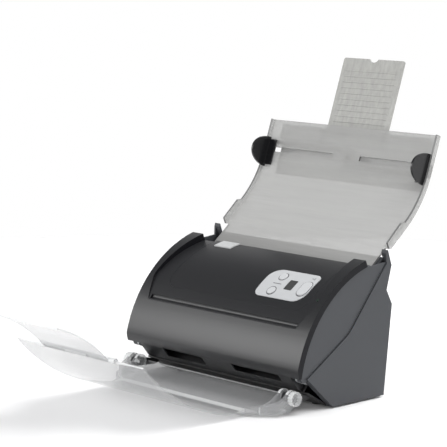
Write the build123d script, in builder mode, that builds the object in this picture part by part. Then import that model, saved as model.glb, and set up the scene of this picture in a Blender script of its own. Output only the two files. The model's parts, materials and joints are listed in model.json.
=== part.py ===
from build123d import *
import os
from math import acos, atan2, ceil, cos, degrees, hypot, pi, radians, sin, sqrt, tan

os.makedirs("parts", exist_ok=True)

# Frame: X runs across the machine, -Y is the front, Z = 0 is the table. The pieces are drawn
# about the middle of the body; save moves them so that the origin lies under the middle of
# the whole machine with its trays out.

# Driving dimensions of the body, in millimetres
body_width = 318.5
body_depth = 170.0
body_height = 189.0
machine_shift = 80.5
foot_height = 2.5
foot_radius = 7.0
foot_spread = 126.0
foot_front = -15.0
foot_rear = 62.0

# Walls and fits
shell_wall = 2.6
floor_wall = 4.2
plate_wall = 2.5
skin_wall = 2.5
seam_gap = 0.6
piece_gap = 0.3
running_gap = 0.05
edge_soft = 0.8

# Side stack, measured inwards from the outside of the side panel
side_depth = 11.0
frame_wall = 2.5
rim_band = 9.0
cheek_inset = 2.0
cheek_wall = 3.0
boss_radius = 4.0

# Paper path between the two halves
path_gap = 0.8
path_top_drop = 29.0
path_top_back = 133.0
exit_height = 25.0
exit_back = 24.0
upper_guide_half = 134.0
lip_half = 140.0
lip_wall = 2.2
lip_notches = ((-95.0, -21.0, 32.0), (35.0, 118.0, 35.0))

# Cover shell
cover_tip_back = 119.0
cover_tip_drop = 9.0
cover_mid_back = 34.0
cover_mid_drop = 64.0
cover_low_height = 58.0
cover_lip_height = 46.0
cover_lip_back = 2.2
recess_top_half = 137.0
recess_wide_half = 150.0
recess_bend = 26.0
recess_corner = 5.0
recess_rise = 80.0
recess_wide = -25.0
recess_drop = -61.0
recess_foot_back = 19.0
recess_foot_height = 102.5
recess_mid_back = 63.0
recess_mid_drop = 43.0
recess_top_back = 127.0
recess_top_drop = 17.5
cove_radius = 5.0
cove_depth = 1.8
cove_half = 135.0

# Hinge of the cover, at the nose of the body
hinge_back = 14.0
hinge_height = 44.0
hinge_pin_radius = 2.5
hinge_eye_radius = 5.0
hinge_clear = 11.0
hinge_pin_length = 12.0

# Control panel on the recess floor
panel_x = 78.5
panel_back = 64.5
panel_drop = 46.5
panel_width = 84.0
panel_height = 50.0
panel_big_corner = 18.0
panel_small_corner = 9.0
panel_proud = 0.6
inlay_thick = 1.6
inlay_left = -120.0
inlay_right = 132.0
inlay_low = -37.0
inlay_corner = 18.0
button_proud = 1.0
button_radius = 6.0
button_travel = 0.8
button_stem = 2.0
scan_width = 15.0
scan_height = 25.0
window_width = 13.5
window_height = 17.5
lamp_radius = 2.0
up_key = (-16.2, 11.6)
down_key = (-16.6, -14.6)
scan_key = (32.0, -2.6)
window_place = (6.5, -0.6)
lamp_place = (64.8, -16.0)
board_thick = 1.6
post_radius = 2.5

# Cover release
lever_x = -91.5
lever_width = 31.0
lever_depth = 17.0
lever_thick = 3.0
lever_bar_radius = 2.3
lever_back = 125.0
lever_drop = 29.0
hook_inner = 139.5
hook_width = 3.5
keeper_radius = 1.5

# Rollers, by their place along the paper path from the exit
exit_roller_place = 27.0
sensor_place = 58.0
drive_roller_place = 94.0
feed_roller_place = 132.0
small_roller_radius = 8.0
feed_roller_radius = 13.0
pinch_roller_radius = 5.0
shaft_radius = 3.0
pinch_shaft_radius = 2.0
roller_width = 18.0
roller_spread = 62.0
feed_roller_width = 44.0
roller_clear = 1.5
pinch_gap = 0.3
pinch_bracket = 3.0
bush_wall = 2.0
bush_flange = 1.2
sensor_width = 18.0
sensor_length = 232.0
sensor_depth = 14.0
glass_thick = 1.4
pad_width = 36.0
pad_height = 16.0
pad_thick = 2.0

# Gear train outside the left frame plate
gear_module = 1.0
gear_width = 4.0
gear_start = 0.9
drive_teeth = 26
idler_teeth = 20
long_idler_teeth = 48
motor_teeth = 14
gear_backlash = 0.3
tooth_tip = 0.9
tooth_root = 1.25
pressure_angle = 20.0
motor_turn = -35.0
motor_radius = 18.0
motor_length = 38.0
motor_shaft_radius = 2.0

# Output tray
tray_half_width = 118.0
tray_wall = 2.0
tray_radius = 240.0
tray_floor_height = 5.0
tray_floor_ahead = 33.0
tray_rim_angle = 221.3
tray_crease_ahead = 3.0
tray_crease_height = 8.0
tray_ramp_ahead = -17.5
tray_ramp_height = 20.0
tray_pivot_height = 21.0
tray_pivot_back = 1.0
tray_hub_radius = 10.0
tray_hub_half = 150.0
tray_lug_inner = 136.0
tray_lug_width = 9.0
tray_lug_radius = 6.0
tray_cheek = 4.0
tray_shoulder_ahead = 22.0
tray_neck_ahead = 48.0
tray_tail_ahead = 62.0
tray_pin_radius = 2.5
tray_knob_radius = 9.0
tray_knob_ribs = 14
tray_knob_notch = 0.9
tray_knob_length = 7.5
hub_back = 12.0
flap_width = 120.0
flap_length = 98.4
flap_radius = 168.0
flap_pin_radius = 1.5
flap_barrel_radius = 3.2
flap_knuckle = 20.0
flap_step = 0.7
flap_corner = 5.0

# Paper chute
chute_wall = 3.0
chute_half_width = 151.5
chute_foot_half = 143.5
chute_foot_height = 188.0
chute_front = 50.5
chute_start_height = 158.4
chute_low_angle = 40.0
chute_high_angle = 71.0
chute_low_length = 88.1
chute_bend_radius = 150.0
chute_high_length = 48.0
chute_rim = 3.0
chute_rim_height = 4.0
fin_height = 9.0
fin_start = 46.0
fin_end = 90.0
hook_tab_spread = 110.0
hook_tab_width = 20.0
hook_tab_place = 14.0
hook_tab_length = 12.0
guide_wall = 3.0
guide_length = 42.0
guide_reach = 31.0
guide_travel = 115.0
guide_drop = 5.0
guide_place = 6.0
guide_inset = 4.5
guide_foot = 12.0
guide_stand = 1.8
slot_height = 6.6
slot_clear = 1.0
pinion_teeth = 16
pinion_post_radius = 2.8
rack_height = 5.0
rack_thick = 3.0
rack_behind = 2.5
rack_over = 8.0
extension_width = 110.0
extension_length = 116.0
extension_thick = 2.2
extension_top = 146.0
extension_behind = 6.8
extension_room = 2.6
rail_width = 3.0
rail_length = 24.0
rail_place = 34.0
rail_hook = 4.0
extension_ribs = 12
extension_rib_step = 8.0
thumb_radius = 9.0
chute_back_wall = 2.0
chute_back_inset = 17.5
chute_back_wall_low = 22.0
chute_back_low = -26.0
chute_back_high = 44.0

# Electronics and sockets on the rear wall
board_half = 91.0
board_low = 26.0
board_high = 96.0
board_standoff = 8.0
board_edge = 6.0
usb_x = 70.0
usb_width = 12.0
usb_height = 11.0
inlet_x = 98.0
inlet_width = 11.0
inlet_depth = 13.0
inlet_bore = 2.8
switch_x = 124.0
switch_width = 9.0
switch_height = 14.0
socket_height = 46.0
socket_depth = 14.0

half_width = body_width / 2
front = -body_depth / 2
back = body_depth / 2
panel_inner = half_width - side_depth
skin_inner = half_width - skin_wall
frame_inner = panel_inner - frame_wall
inside_half = frame_inner - piece_gap
guide_outer = chute_half_width - guide_inset
slot_inner = guide_outer - guide_travel - 2 * guide_wall - slot_clear
cheek_outer = half_width - cheek_inset
cheek_inner = cheek_outer - cheek_wall

# Corners of the side profile, as (y, z)
nose = (front + 17.5, 43.0)
toe = (front + 63, foot_height)
heel = (back - 13, foot_height)
shoulder = (back - 0.5, body_height - 70)
neck = (back - 11, body_height - 51)
ear_back = (back - 2.5, body_height - 20)
ear_tip = (back - 9.8, body_height)
ear_front = (back - 11.1, body_height - 5)
seam_top = (back - 11.4, body_height - 17.2)
seam_bend = (front + 91, 90.0)
seam_low = (front + 17.5, 43.8)
slot_dip = (back - 38, body_height - 18)
throat = (front + 28, 21.5)
inner_toe = (front + 61, foot_height)
back_split = (back - 9.8, 32.0)

cover_tip = (front + cover_tip_back, body_height - cover_tip_drop)
cover_mid = (front + cover_mid_back, body_height - cover_mid_drop)
cover_low = (front, cover_low_height)
cover_lip = (front + cover_lip_back, cover_lip_height)
hinge = (front + hinge_back, hinge_height)
lever_axis = (front + lever_back, body_height - lever_drop)
tray_pivot = (front + tray_pivot_back, tray_pivot_height)


# Centre and radius of the circle through three points
def circle_through(first, second, third):
    (ax, ay), (bx, by), (cx, cy) = first, second, third
    twice = 2 * ((bx - ax) * (cy - by) - (cx - bx) * (by - ay))
    low = bx * bx + by * by - ax * ax - ay * ay
    high = cx * cx + cy * cy - bx * bx - by * by
    x = (low * (cy - by) - high * (by - ay)) / twice
    y = (high * (bx - ax) - low * (cx - bx)) / twice
    return (x, y), hypot(ax - x, ay - y)


# Point of a circle at an angle in degrees
def arc_point(centre, radius, angle):
    return (centre[0] + radius * cos(radians(angle)), centre[1] + radius * sin(radians(angle)))


# A line of points moved to its left by a wall thickness, with mitred corners
def inset_path(points, wall):
    moved = []
    for index, (x, y) in enumerate(points):
        before = points[max(index - 1, 0)]
        after = points[min(index + 1, len(points) - 1)]
        first = atan2(y - before[1], x - before[0]) if index else None
        last = atan2(after[1] - y, after[0] - x) if index < len(points) - 1 else first
        first = last if first is None else first
        middle = (first + last) / 2
        reach = wall / cos((last - first) / 2)
        moved.append((x - reach * sin(middle), y + reach * cos(middle)))
    return moved


# Closed outline of a wall that follows a line of points, on its left side
def wall_outline(points, wall):
    return [*points, *reversed(inset_path(points, wall))]


recess_foot = (front + recess_foot_back, recess_foot_height)
recess_mid = (front + recess_mid_back, body_height - recess_mid_drop)
recess_top = (front + recess_top_back, body_height - recess_top_drop)
floor_centre, floor_radius = circle_through(recess_foot, recess_mid, recess_top)
face_centre, face_radius = circle_through(cover_tip, cover_mid, cover_low)

# The paper path is a slanted plane between the lower and the upper half
path_foot = (front + exit_back, exit_height)
path_head = (front + path_top_back, body_height - path_top_drop)
path_length = hypot(path_head[0] - path_foot[0], path_head[1] - path_foot[1])
path_cos = (path_head[0] - path_foot[0]) / path_length
path_sin = (path_head[1] - path_foot[1]) / path_length


# (y, z) of a place on the paper path; off is measured towards the cover
def path_point(along, off=0.0):
    return (
        path_foot[0] + path_cos * along - path_sin * off,
        path_foot[1] + path_sin * along + path_cos * off,
    )


# Plane parallel to the paper path: local x is X, local y climbs, local z faces the cover
def path_plane(off=0.0):
    y, z = path_point(0, off)
    return Plane(origin=(0, y, z), x_dir=(1, 0, 0), z_dir=(0, -path_sin, path_cos))


# Plane of the side profiles: local x is Y, local y is Z
def side_plane(x=0.0):
    return Plane.YZ.offset(x)


exit_axis = path_point(exit_roller_place, -small_roller_radius)
drive_axis = path_point(drive_roller_place, -small_roller_radius)
feed_axis = path_point(feed_roller_place, -feed_roller_radius)
drive_pinch_axis = path_point(drive_roller_place, pinch_roller_radius + pinch_gap)
exit_pinch_axis = path_point(exit_roller_place, pinch_roller_radius + pinch_gap)

# Plane that touches the recess floor under the control panel, with local z pointing out
panel_line = atan2(body_height - panel_drop - floor_centre[1], front + panel_back - floor_centre[0])
panel_touch = arc_point(floor_centre, floor_radius, degrees(panel_line))
panel_plane = Plane(
    origin=(panel_x, panel_touch[0], panel_touch[1]),
    x_dir=(1, 0, 0),
    z_dir=(0, cos(panel_line), sin(panel_line)),
)
plan_reach = 120.0

# The chute: a low run, a bend and a steep run
chute_start = (chute_front, chute_start_height)
low_cos, low_sin = cos(radians(chute_low_angle)), sin(radians(chute_low_angle))
high_cos, high_sin = cos(radians(chute_high_angle)), sin(radians(chute_high_angle))


# (y, z) of a place on the chute's low run; off is measured towards the front
def low_point(along, off=0.0):
    return (
        chute_start[0] + low_cos * along - low_sin * off,
        chute_start[1] + low_sin * along + low_cos * off,
    )


chute_bend = low_point(chute_low_length)
bend_centre = low_point(chute_low_length, chute_bend_radius)
chute_knee = (
    bend_centre[0] + chute_bend_radius * high_sin,
    bend_centre[1] - chute_bend_radius * high_cos,
)


# Plane parallel to the chute's steep run: local x is X, local y climbs, local z faces the front
def chute_plane(off=0.0):
    return Plane(
        origin=(0, chute_knee[0] - high_sin * off, chute_knee[1] + high_cos * off),
        x_dir=(1, 0, 0),
        z_dir=(0, -high_sin, high_cos),
    )


# (y, z) of a place on the chute's steep run; off is measured towards the front
def high_point(along, off=0.0):
    return (
        chute_knee[0] + high_cos * along - high_sin * off,
        chute_knee[1] + high_sin * along + high_cos * off,
    )


deck_front = low_point(1.5, -chute_wall - piece_gap)
deck_rear = low_point(34.5, -chute_wall - piece_gap)


# Label a finished piece, move it to the machine's frame and write its file
def save(piece, name):
    placed = Pos(0, machine_shift, 0) * piece.part
    placed.label = name
    export_step(placed, f"parts/{name}.step")


# Profiles shared by several pieces

with BuildSketch(side_plane()) as base_outline:
    with BuildLine():
        Polyline(nose, toe, heel, shoulder, neck, ear_back, ear_tip, ear_front, seam_top)
        FilletPolyline(seam_top, seam_bend, seam_low, radius=60)
        Line(seam_low, nose)
    make_face()

with BuildSketch(side_plane()) as cover_outline:
    with BuildLine():
        ThreePointArc(cover_tip, cover_mid, cover_low)
        ThreePointArc(cover_low, (front + 0.3, (cover_low_height + cover_lip_height) / 2), cover_lip)
        Polyline(
            cover_lip,
            path_point(18, 6),
            path_point(path_length - 4, path_gap + shell_wall),
            cover_tip,
        )
    make_face()

with BuildSketch(side_plane()) as cover_void:
    add(cover_outline.sketch_local)
    offset(amount=-shell_wall, kind=Kind.INTERSECTION, mode=Mode.REPLACE)
    with Locations(floor_centre):
        Circle(floor_radius - floor_wall, mode=Mode.INTERSECT)

with BuildSketch(side_plane()) as cover_back_band:
    with BuildLine():
        Polyline(
            path_point(-30),
            path_point(path_length + 12),
            path_point(path_length + 12, 4 * shell_wall),
            path_point(44, 4 * shell_wall),
            path_point(34, 14),
            path_point(-30, 14),
            close=True,
        )
    make_face()

with BuildSketch(side_plane()) as recess_section:
    Polygon(
        recess_foot,
        (front - 30, recess_foot_height),
        (front - 30, body_height + 30),
        (recess_top[0] + 20, body_height + 30),
        (recess_top[0] + 20, recess_foot_height),
        align=None,
    )
    with Locations(floor_centre):
        Circle(floor_radius, mode=Mode.SUBTRACT)

# Recess seen square to the panel: its sides spread down to a bend, then draw in to sharp corners
with BuildSketch() as recess_plan:
    with BuildLine():
        FilletPolyline(
            (-recess_top_half - panel_x, recess_rise),
            (-recess_wide_half - panel_x, recess_wide),
            (-recess_top_half - panel_x, recess_drop),
            (recess_top_half - panel_x, recess_drop),
            (recess_wide_half - panel_x, recess_wide),
            (recess_top_half - panel_x, recess_rise),
            radius=[recess_bend, recess_corner, recess_corner, recess_bend],
        )
        Line((recess_top_half - panel_x, recess_rise), (-recess_top_half - panel_x, recess_rise))
    make_face()

with BuildSketch() as panel_plan:
    with BuildLine():
        FilletPolyline(
            (panel_width / 2, panel_height / 2),
            (-panel_width / 2, panel_height / 2),
            (-panel_width / 2, -panel_height / 2),
            (panel_width / 2, -panel_height / 2),
            radius=[panel_small_corner, panel_big_corner, panel_small_corner, panel_big_corner],
            close=True,
        )
    make_face()

with BuildSketch() as inlay_plan:
    with BuildLine():
        FilletPolyline(
            (inlay_left - panel_x, recess_rise),
            (inlay_left - panel_x, inlay_low),
            (inlay_right - panel_x, inlay_low),
            (inlay_right - panel_x, recess_rise),
            radius=inlay_corner,
        )
        Line((inlay_right - panel_x, recess_rise), (inlay_left - panel_x, recess_rise))
    make_face()

# Layer of the recess floor between two depths, measured outwards from the floor
with BuildSketch(side_plane()) as inlay_layer:
    with Locations(floor_centre):
        Circle(floor_radius)
        Circle(floor_radius - inlay_thick, mode=Mode.SUBTRACT)
    Polygon(recess_foot, recess_top, (recess_top[0], body_height), (front, body_height), align=None,
            mode=Mode.INTERSECT)

with BuildSketch(side_plane()) as panel_layer:
    with Locations(floor_centre):
        Circle(floor_radius + panel_proud)
        Circle(floor_radius - inlay_thick + piece_gap / 2, mode=Mode.SUBTRACT)
    Polygon(floor_centre, recess_foot, (front, body_height), recess_top, align=None, mode=Mode.INTERSECT)

lever_front = recess_top[0] - lever_depth
lever_side_gap = 0.6
inlay_clear = 0.25

with BuildPart() as recess_cutter:
    with BuildSketch(side_plane(-half_width)):
        add(recess_section.sketch_local)
    extrude(amount=body_width)
    with BuildSketch(panel_plane):
        add(recess_plan.sketch_local)
    extrude(amount=plan_reach, both=True, mode=Mode.INTERSECT)

with BuildPart() as inlay_blank:
    with BuildSketch(side_plane(-half_width)):
        add(inlay_layer.sketch_local)
    extrude(amount=body_width)

with BuildPart() as inlay_pocket:
    add(inlay_blank.part)
    with BuildSketch(panel_plane):
        add(inlay_plan.sketch_local)
        offset(amount=inlay_clear, mode=Mode.REPLACE)
    extrude(amount=plan_reach / 2, both=True, mode=Mode.INTERSECT)

# Cover shell: a curved front with a recess between two side rails
with BuildPart() as cover_shell:
    with BuildSketch(side_plane(-half_width)):
        add(cover_outline.sketch_local)
        add(cover_void.sketch_local, mode=Mode.SUBTRACT)
        add(cover_back_band.sketch_local, mode=Mode.SUBTRACT)
    extrude(amount=body_width)
    for side in (-1, 1):
        with BuildSketch(side_plane(side * half_width)):
            add(cover_outline.sketch_local)
            with Locations(face_centre):
                Circle(face_radius - rim_band, mode=Mode.SUBTRACT)
            add(cover_back_band.sketch_local, mode=Mode.SUBTRACT)
        extrude(amount=-side * (side_depth - piece_gap))
    for side in (-1, 1):
        with BuildSketch(side_plane(side * (half_width + 1))):
            with Locations(face_centre):
                Circle(face_radius - rim_band)
        extrude(amount=-side * (side_depth + 1 - piece_gap), mode=Mode.SUBTRACT)
    add(recess_cutter.part, mode=Mode.SUBTRACT)
    add(inlay_pocket.part, mode=Mode.SUBTRACT)
    with BuildSketch(panel_plane):
        with Locations(up_key, down_key, scan_key):
            Circle(button_stem + piece_gap)
        with Locations(lamp_place):
            Circle(lamp_radius + piece_gap)
    extrude(amount=plan_reach / 4, both=True, mode=Mode.SUBTRACT)
    with BuildSketch(side_plane(lever_x - lever_width / 2 - lever_side_gap)):
        Polygon(
            (lever_front - lever_side_gap, lever_axis[1] - 10),
            (back, lever_axis[1] - 10),
            (back, body_height),
            (lever_front - lever_side_gap, body_height),
            align=None,
        )
    extrude(amount=lever_width + 2 * lever_side_gap, mode=Mode.SUBTRACT)
    with BuildSketch(side_plane(-cove_half)):
        with Locations((recess_foot[0] + 1.5, recess_foot[1] + cove_radius)):
            Circle(cove_radius - cove_depth / 2)
    extrude(amount=2 * cove_half, mode=Mode.SUBTRACT)
    with BuildSketch(side_plane(-panel_inner - piece_gap)):
        with Locations(hinge):
            Circle(hinge_clear)
    extrude(amount=2 * (panel_inner + piece_gap), mode=Mode.SUBTRACT)
save(cover_shell, "cover_shell")

# Cover side plates, set in from the band of the shell
with BuildSketch(side_plane()) as cheek_outline:
    Polygon(
        (front - 10, hinge[1] + 1.2),
        (hinge[0] + 6, hinge[1] + 1.2),
        (hinge[0] + 30, hinge[1] + 6),
        (back - 12, 150),
        (back - 12, seam_top[1] + 1.5),
        slot_dip,
        (slot_dip[0] - 9, slot_dip[1] + 4),
        (front - 10, slot_dip[1] + 4),
        align=None,
    )
    with Locations(face_centre):
        Circle(face_radius - rim_band - piece_gap, mode=Mode.INTERSECT)

with BuildSketch(side_plane()) as base_grown:
    add(base_outline.sketch_local)
    offset(amount=seam_gap, kind=Kind.INTERSECTION, mode=Mode.REPLACE)

for side, label in ((-1, "cover_side_left"), (1, "cover_side_right")):
    with BuildPart() as cover_side:
        with BuildSketch(side_plane(side * cheek_inner)):
            add(cheek_outline.sketch_local)
            add(base_grown.sketch_local, mode=Mode.SUBTRACT)
        extrude(amount=side * cheek_wall)
        with BuildSketch(side_plane(side * (panel_inner + gear_start))):
            with Locations(hinge):
                Circle(hinge_eye_radius)
        extrude(amount=side * (skin_inner - piece_gap - panel_inner - gear_start))
        with BuildSketch(side_plane(side * panel_inner)):
            with Locations(hinge):
                Circle(hinge_pin_radius + running_gap)
        extrude(amount=side * (cheek_inner - panel_inner), mode=Mode.SUBTRACT)
    save(cover_side, label)

# Side panels of the base: a skin with a rim along the nose, the bottom, the back and the ear
rim_path = [nose, toe, heel, shoulder, neck, ear_back, ear_tip]
for side, label in ((-1, "side_panel_left"), (1, "side_panel_right")):
    with BuildPart() as side_panel:
        with BuildSketch(side_plane(side * half_width)):
            add(base_outline.sketch_local)
        extrude(amount=-side * skin_wall)
        with BuildSketch(side_plane(side * half_width)):
            Polygon(*wall_outline(rim_path, skin_wall), align=None)
            add(base_outline.sketch_local, mode=Mode.INTERSECT)
        extrude(amount=-side * (side_depth - piece_gap))
        with BuildSketch(side_plane(side * skin_inner)):
            with Locations((-20, 20), (58, 30), (66, 112)):
                Circle(boss_radius)
        extrude(amount=-side * (skin_inner - panel_inner - piece_gap))
        with BuildSketch(side_plane(side * skin_inner)):
            with Locations(hinge):
                Circle(hinge_eye_radius + seam_gap)
        extrude(amount=-side * side_depth, mode=Mode.SUBTRACT)
    save(side_panel, label)

# Frame plates that carry the shafts, with a lug for the cover hinge
bearing_points = [exit_axis, drive_axis, feed_axis]
frame_ledge = inset_path([nose, toe, heel, shoulder, neck, (back - 5, 160)], plate_wall + piece_gap)

link_first = (drive_teeth + idler_teeth) * gear_module / 2
link_long = (drive_teeth + long_idler_teeth) * gear_module / 2
link_motor = (motor_teeth + long_idler_teeth) * gear_module / 2


# Third corner of a triangle on two centres with two equal sides, below the line between them
def apex_below(first, second, side_length):
    middle = ((first[0] + second[0]) / 2, (first[1] + second[1]) / 2)
    half = hypot(second[0] - first[0], second[1] - first[1]) / 2
    height = sqrt(side_length**2 - half**2)
    turn = atan2(second[1] - first[1], second[0] - first[0])
    return (middle[0] + height * sin(turn), middle[1] - height * cos(turn))


idler_axis = apex_below(drive_axis, feed_axis, link_first)
long_idler_axis = apex_below(exit_axis, drive_axis, link_long)
motor_axis = arc_point(long_idler_axis, link_motor, motor_turn)

bush_radius = shaft_radius + running_gap + bush_wall
gear_inner = panel_inner + gear_start
for side, label in ((-1, "frame_left"), (1, "frame_right")):
    with BuildPart() as frame:
        with BuildSketch(side_plane(side * frame_inner)):
            Polygon(*frame_ledge, (58, 148), path_point(160, -4), path_point(32, -4), align=None)
            Polygon(
                (hinge[0] - 1, hinge[1] + hinge_eye_radius),
                (hinge[0] + 12, hinge[1] + 1),
                (hinge[0] + 18, hinge[1] - 12),
                (hinge[0] - 1, hinge[1] - hinge_eye_radius),
                align=None,
            )
            with Locations(hinge):
                Circle(hinge_eye_radius)
                Circle(hinge_pin_radius + running_gap, mode=Mode.SUBTRACT)
            with Locations(*bearing_points):
                Circle(bush_radius + running_gap, mode=Mode.SUBTRACT)
        extrude(amount=side * frame_wall)
        with BuildSketch(side_plane(side * frame_inner)):
            with Locations(path_point(155, -3.5)):
                Circle(keeper_radius)
        extrude(amount=-side * (frame_inner - hook_inner))
        if side < 0:
            with BuildSketch(side_plane(-panel_inner)):
                with Locations(idler_axis, long_idler_axis):
                    Circle(shaft_radius)
            extrude(amount=-(gear_start + gear_width))
            with BuildSketch(side_plane(-frame_inner)):
                with Locations(motor_axis):
                    Circle(motor_shaft_radius * 2)
            extrude(amount=-frame_wall, mode=Mode.SUBTRACT)
    save(frame, label)

# Hinge pins of the cover
with BuildPart() as hinge_pins:
    for side in (-1, 1):
        with BuildSketch(side_plane(side * (cheek_inner - piece_gap))):
            with Locations(hinge):
                Circle(hinge_pin_radius)
        extrude(amount=-side * hinge_pin_length)
save(hinge_pins, "hinge_pins")

# Bottom housing: a trough between the side panels, with the two arms that carry the tray
with BuildPart() as bottom_housing:
    with BuildSketch(side_plane(-panel_inner)):
        Polygon(*wall_outline([throat, inner_toe, heel, back_split], plate_wall), align=None)
    extrude(amount=2 * panel_inner)
    for side in (-1, 1):
        with BuildSketch(side_plane(side * tray_lug_inner)):
            with Locations(tray_pivot):
                Circle(tray_lug_radius)
            Polygon(
                (tray_pivot[0], tray_pivot[1] + tray_lug_radius),
                (throat[0] - 2, throat[1] - 0.5),
                (throat[0] + 12, throat[1] - 5),
                (throat[0] + 2, throat[1] - 8),
                (tray_pivot[0], tray_pivot[1] - tray_lug_radius),
                align=None,
            )
            with Locations(tray_pivot):
                Circle(tray_pin_radius + running_gap, mode=Mode.SUBTRACT)
        extrude(amount=side * tray_lug_width)
save(bottom_housing, "bottom_housing")

# Rear cover: the back wall and the deck under the chute, with openings for the sockets
rear_path = [
    (back_split[0] + 0.05, back_split[1] + piece_gap),
    shoulder,
    neck,
    ear_back,
    deck_rear,
    deck_front,
]
rear_lean = atan2(shoulder[1] - heel[1], shoulder[0] - heel[0])


# Plane on the rear wall: local x is -X, local y climbs, local z points backwards
def rear_plane(height, off=0.0):
    rise = (height - heel[1]) / sin(rear_lean)
    y = heel[0] + rise * cos(rear_lean) + off * sin(rear_lean)
    z = height - off * cos(rear_lean)
    return Plane(origin=(0, y, z), x_dir=(-1, 0, 0), z_dir=(0, sin(rear_lean), -cos(rear_lean)))


with BuildPart() as rear_cover:
    with BuildSketch(side_plane(-panel_inner)):
        Polygon(*wall_outline(rear_path, plate_wall), align=None)
    extrude(amount=2 * panel_inner)
    with BuildSketch(rear_plane(socket_height)):
        with Locations((-usb_x, 0)):
            Rectangle(usb_width + 2 * piece_gap, usb_height + 2 * piece_gap)
        with Locations((-inlet_x, 0)):
            Rectangle(inlet_width + 2 * piece_gap, inlet_width + 2 * piece_gap)
        with Locations((-switch_x, 0)):
            Rectangle(switch_width + 4 * piece_gap, switch_height + 4 * piece_gap)
    extrude(amount=2 * plate_wall, both=True, mode=Mode.SUBTRACT)
    for side in (-1, 1):
        with BuildSketch(side_plane(side * hook_tab_spread)):
            Polygon(
                low_point(hook_tab_place - piece_gap, 1),
                low_point(hook_tab_place + chute_wall + piece_gap, 1),
                low_point(hook_tab_place + chute_wall + piece_gap, -12),
                low_point(hook_tab_place - piece_gap, -12),
                align=None,
            )
        extrude(amount=hook_tab_width / 2 + piece_gap, both=True, mode=Mode.SUBTRACT)
save(rear_cover, "rear_cover")

# Feet
with BuildPart() as feet:
    with BuildSketch():
        with Locations(*[(x, y) for x in (-foot_spread, foot_spread) for y in (foot_front, foot_rear)]):
            Circle(foot_radius)
    extrude(amount=foot_height)
save(feet, "feet")

# Exit lip: the dark face under the cover, with two notches, on a bracket at each end
lip_top = (front + 6, 45.0)
lip_foot = (front + 21, 26.7)
with BuildPart() as exit_lip:
    with BuildSketch(side_plane(-lip_half)):
        Polygon(*wall_outline([lip_top, lip_foot], lip_wall), align=None)
    extrude(amount=2 * lip_half)
    for side in (-1, 1):
        with BuildSketch(side_plane(side * lip_half)):
            Polygon(
                (lip_top[0] + 2, lip_top[1] - 1),
                lip_foot,
                path_point(1, -path_gap + piece_gap),
                path_point(14, -path_gap + piece_gap),
                align=None,
            )
        extrude(amount=-side * lip_wall)
    for left, right, low in lip_notches:
        with BuildSketch(Plane.XZ):
            Polygon((left, low), (right, low), (right, 60), (left, 60), align=None)
        extrude(amount=back, both=True, mode=Mode.SUBTRACT)
save(exit_lip, "exit_lip")

# Lower paper guide, with windows for the rollers and the sensor
guide_top_place = path_length - 3.0
lower_guide_half = inside_half - bush_flange - piece_gap
tyre_window = roller_width + 2 * roller_clear
with BuildPart() as lower_guide:
    with BuildSketch(path_plane(-path_gap)):
        Polygon(
            (-lower_guide_half, 1),
            (lower_guide_half, 1),
            (lower_guide_half, guide_top_place),
            (-lower_guide_half, guide_top_place),
            align=None,
        )
        for side in (-1, 1):
            with Locations((side * (inside_half + hook_inner - 2) / 2, guide_top_place - 6)):
                Rectangle(inside_half - hook_inner + 3, 32, mode=Mode.SUBTRACT)
        for place in (exit_roller_place, drive_roller_place):
            with Locations((-roller_spread, place), (roller_spread, place)):
                Rectangle(tyre_window, 2 * small_roller_radius + roller_clear, mode=Mode.SUBTRACT)
        with Locations((0, feed_roller_place)):
            Rectangle(feed_roller_width + 2 * roller_clear, 23, mode=Mode.SUBTRACT)
        with Locations((0, sensor_place)):
            Rectangle(sensor_length - 4, sensor_width - 2, mode=Mode.SUBTRACT)
    extrude(amount=-plate_wall)
save(lower_guide, "lower_guide")

# Upper paper guide on the cover, with the same windows and the brackets of the pinch rollers
with BuildPart() as upper_guide:
    with BuildSketch(path_plane(path_gap)):
        Polygon(
            (-upper_guide_half, 13),
            (upper_guide_half, 13),
            (upper_guide_half, guide_top_place - 2),
            (-upper_guide_half, guide_top_place - 2),
            align=None,
        )
        for place in (exit_roller_place, drive_roller_place):
            with Locations((-roller_spread, place), (roller_spread, place)):
                Rectangle(tyre_window, 2 * pinch_roller_radius + roller_clear, mode=Mode.SUBTRACT)
        with Locations((0, feed_roller_place)):
            Rectangle(pad_width + 1, pad_height + 1, mode=Mode.SUBTRACT)
        with Locations((0, sensor_place)):
            Rectangle(sensor_length - 4, sensor_width - 2, mode=Mode.SUBTRACT)
    extrude(amount=plate_wall)
    bracket_x = roller_spread + tyre_window / 2 + pinch_bracket / 2 + piece_gap
    for axis, place in ((drive_pinch_axis, drive_roller_place), (exit_pinch_axis, exit_roller_place)):
        for x in (-bracket_x, 2 * -roller_spread + bracket_x, 2 * roller_spread - bracket_x, bracket_x):
            with BuildSketch(side_plane(x - pinch_bracket / 2)):
                Polygon(
                    path_point(place - pinch_roller_radius, path_gap + plate_wall / 2),
                    path_point(place + pinch_roller_radius, path_gap + plate_wall / 2),
                    path_point(place + 4, 2 * pinch_roller_radius),
                    path_point(place - 4, 2 * pinch_roller_radius),
                    align=None,
                )
                with Locations(axis):
                    Circle(pinch_shaft_radius + running_gap, mode=Mode.SUBTRACT)
            extrude(amount=pinch_bracket)
save(upper_guide, "upper_guide")

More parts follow.
